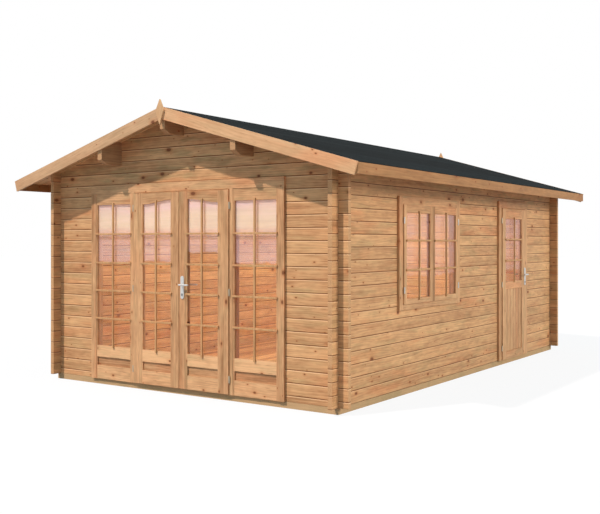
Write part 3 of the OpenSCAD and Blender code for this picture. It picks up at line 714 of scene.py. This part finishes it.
def add_piece(name, bm, body, material):
    bmesh.ops.recalc_face_normals(bm, faces=bm.faces)
    mesh = bpy.data.meshes.new(name)
    bm.to_mesh(mesh)
    bm.free()
    made = bpy.data.objects.new(name, mesh)
    scene.collection.objects.link(made)
    mesh.materials.append(material)
    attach(made, body)
    return made


def add_strips(name, strips, front, ease, body, material):
    bm = bmesh.new()
    for low, high in strips:
        strip(bm, low, high, Vector(front), ease)
    add_piece(name, bm, body, material)


def grille(span, heights, levels, place):
    """Bars over a pane: one upright and some level ones, cut short where they cross it."""
    middle = sum(span) / 2
    left, right = middle - BAR_W / 2, middle + BAR_W / 2
    bars = [place(left, right, heights[0] - BAR_LAP, heights[1] + BAR_LAP)]
    for level in levels:
        low, high = level - BAR_W / 2, level + BAR_W / 2
        bars.append(place(span[0] - BAR_LAP, left, low, high))
        bars.append(place(right, span[1] + BAR_LAP, low, high))
    return bars


def on_front(y0, y1):
    return lambda a0, a1, z0, z1: ((a0, y0, z0), (a1, y1, z1))


def on_side(x0, x1):
    return lambda a0, a1, z0, z1: ((x0, a0, z0), (x1, a1, z1))


def left_of(span):
    """The same span to the left of the middle."""
    return -span[1], -span[0]


FRONT_GRILLES = {
    "left_sidelight": (left_of(SIDELIGHT_PANE), SIDELIGHT_TOP, SIDELIGHT_OUT, "cabin"),
    "right_sidelight": (SIDELIGHT_PANE, SIDELIGHT_TOP, SIDELIGHT_OUT, "cabin"),
    "left_leaf": (left_of(LEAF_PANE), LEAF_TOP, LEAF_OUT, "front_left_door"),
    "right_leaf": (LEAF_PANE, LEAF_TOP, LEAF_OUT, "front_right_door"),
}
for name, (span, top, face, body) in FRONT_GRILLES.items():
    bars = grille(span, (FRONT_PANE_FOOT, top), FRONT_BARS, on_front(face - BAR_T, face))
    add_strips(name + "_bars", bars, (0, -1, 0), BAR_EASE, body, bar_front)

SIDE_GRILLES = {
    "front_sash": (FRONT_SASH_PANE, SASH_PANE_Z, SASH_BARS, SASH_OUT, "cabin"),
    "rear_sash": (REAR_SASH_PANE, SASH_PANE_Z, SASH_BARS, SASH_OUT, "cabin"),
    "side_door": (DOOR_PANE, DOOR_PANE_Z, DOOR_BARS, DOOR_OUT, "side_door"),
}
for name, (span, heights, levels, face, body) in SIDE_GRILLES.items():
    bars = grille(span, heights, levels, on_side(face, face + BAR_T))
    add_strips(name + "_bars", bars, (1, 0, 0), BAR_EASE, body, bar_side)


def door_boards(name, face, out):
    """Upright tongued boards on the lower panel of the side door, sunk behind one of its faces."""
    front = face - out * BOARD_SUNK
    x0, x1 = sorted((front, front - out * BOARD_T))
    edges = [DOOR_PANE[0] + BOARD_W * i for i in range(BOARD_COUNT + 1)]
    place = on_side(x0, x1)
    boards = [place(a, b, *PANEL_Z) for a, b in zip(edges, edges[1:])]
    add_strips(name, boards, (out, 0, 0), BOARD_EASE, "side_door", panel_boards)


door_boards("side_door_boards", DOOR_OUT, 1)
door_boards("side_door_inner_boards", DOOR_IN, -1)


def sash_hinges():
    """Barrels with eased ends on the outer edges of the two sashes, two halves on each pin."""
    bm = bmesh.new()
    for y in (WINDOW_MIDDLE - SASH_HINGE_REACH, WINDOW_MIDDLE + SASH_HINGE_REACH):
        for z in SASH_HINGE_Z:
            for half in (-BARREL_STEP, BARREL_STEP):
                middle = Matrix.Translation((SASH_OUT + BARREL_OUT, y, z + half))
                made = bmesh.ops.create_cone(bm, cap_ends=True, segments=20, radius1=BARREL_R,
                                             radius2=BARREL_R, depth=BARREL_H, matrix=middle)
                rims = {edge for vert in made["verts"] for edge in vert.link_edges
                        if abs(edge.verts[0].co.z - edge.verts[1].co.z) < RIM_SLACK}
                bmesh.ops.bevel(bm, geom=list(rims), offset=BARREL_EASE, segments=2, profile=0.5,
                                affect="EDGES")
    add_piece("sash_hinges", bm, "cabin", metal)


sash_hinges()


def lock(name, middle, across, out, body):
    """Lock cylinder in a handle plate: a round head over a narrow tail, with a key slot that is a near-black
    sheet just proud of the head, painted shade for the hollow of the keyhole.
    """
    bm = bmesh.new()
    across, out, up = Vector(across), Vector(out), Vector(Z)
    outline = [(-TAIL_HALF, TAIL_FOOT), (TAIL_HALF, TAIL_FOOT)]
    for step in range(HEAD_STEPS + 1):
        angle = math.radians(HEAD_START + step * HEAD_STEP)
        outline.append((HEAD_R * math.cos(angle), HEAD_R * math.sin(angle)))
    slot = [(-SLOT_HALF_W, -SLOT_HALF_H), (SLOT_HALF_W, -SLOT_HALF_H),
            (SLOT_HALF_W, SLOT_HALF_H), (-SLOT_HALF_W, SLOT_HALF_H)]
    for index, (points, depth) in enumerate(((outline, LOCK_PROUD), (slot, SLOT_PROUD))):
        verts = [bm.verts.new(Vector(middle) + across * a + up * b) for a, b in points]
        made = bmesh.ops.extrude_face_region(bm, geom=[bm.faces.new(verts)])
        raised = [item for item in made["geom"] if isinstance(item, bmesh.types.BMVert)]
        bmesh.ops.translate(bm, verts=raised, vec=out * depth)
        for face in bm.faces:
            if all(vert in raised or vert in verts for vert in face.verts):
                face.material_index = index
    add_piece(name, bm, body, lock_metal).data.materials.append(painted_slot_shade)


lock("front_lock", (FRONT_LOCK_X, LEAF_OUT - PLATE_T, LOCK_Z), (1, 0, 0), (0, -1, 0), "front_right_door")
lock("front_inner_lock", (FRONT_LOCK_X, LEAF_IN + PLATE_T, LOCK_Z), (-1, 0, 0), (0, 1, 0),
     "front_right_door")
lock("side_lock", (DOOR_OUT + PLATE_T, SIDE_LOCK_Y, LOCK_Z), (0, 1, 0), (1, 0, 0), "side_door")
lock("side_inner_lock", (DOOR_IN - PLATE_T, SIDE_LOCK_Y, LOCK_Z), (0, -1, 0), (-1, 0, 0), "side_door")


def lamp(name, kind, energy, colour, place=(0, 0, 0), travel=None, **settings):
    data = bpy.data.lights.new(name, kind)
    data.energy = energy
    data.color = colour
    for key, value in settings.items():
        setattr(data, key, value)
    made = bpy.data.objects.new(name, data)
    made.location = place
    if travel:
        made.rotation_euler = Vector(travel).to_track_quat("-Z", "Y").to_euler()
    scene.collection.objects.link(made)
    return made


# Studio light: a firm key from the front, a broad side light, and a soft fill in the room
lamp("key", "SUN", 3.3, (1.0, 0.91, 0.86), travel=(0.15, 0.29, -0.416), angle=math.radians(1.6))
lamp("side", "SUN", 1.9, (1.0, 0.94, 0.85), travel=(-0.92, -0.22, -0.33), angle=math.radians(25))
for y in (-FILL_REACH, FILL_REACH):
    fill = lamp("room_fill", "POINT", 82, (0.90, 1.0, 0.93), place=(0, y, FILL_Z), shadow_soft_size=FILL_SIZE)
    fill.visible_camera = False
    fill.visible_glossy = False


def surroundings():
    """White to the eye, with a cooler even light on the object."""
    world = bpy.data.worlds.new("surroundings")
    world.use_nodes = True
    scene.world = world
    tree = Nodes(world.node_tree)
    ambient = tree.node("Background", {"Color": (0.62, 0.84, 1.0, 1), "Strength": 0.71})
    white = tree.node("Background", {"Color": WHITE, "Strength": 1.0})
    mixed = tree.node("MixShader", {0: tree.seen(), 1: ambient.outputs[0], 2: white.outputs[0]})
    tree.node("OutputWorld", {0: mixed.outputs[0]})


def ground():
    """A pale floor that looks white, keeps a soft shadow and throws little light back."""
    s = Shader("pale_floor")
    seen = s.seen()
    matt = s.node("BsdfDiffuse", {"Color": s.blend(seen, (0.33, 0.33, 0.33, 1), (0.8, 0.8, 0.8, 1))})
    bright = s.node("Emission", {"Color": WHITE, "Strength": 1.0})
    share = s.math("MULTIPLY", seen, 0.89)
    mixed = s.node("MixShader", {0: share, 1: matt.outputs[0], 2: bright.outputs[0]})
    s.link(mixed.outputs[0], s.output.inputs[0])
    mesh = bpy.data.meshes.new("pale_floor")
    corners = [(GROUND_REACH * x, GROUND_REACH * y, 0) for x, y in ((-1, -1), (1, -1), (1, 1), (-1, 1))]
    mesh.from_pydata(corners, [], [(0, 1, 2, 3)])
    made = bpy.data.objects.new("pale_floor", mesh)
    made.location = (0, 0, -GROUND_DROP)
    scene.collection.objects.link(made)
    mesh.materials.append(s.material)


surroundings()
ground()

camera_data = bpy.data.cameras.new("camera")
camera_data.sensor_fit = "HORIZONTAL"
camera_data.sensor_width = SENSOR_W
camera_data.lens = FOCAL / PICTURE_W * SENSOR_W
camera_data.shift_x, camera_data.shift_y = PICTURE_SHIFT
camera = bpy.data.objects.new("camera", camera_data)
camera.location = CAMERA_PLACE
camera.rotation_euler = (math.radians(90), 0, math.radians(CAMERA_TURN))
scene.collection.objects.link(camera)
scene.camera = camera
scene.view_settings.view_transform = "Standard"
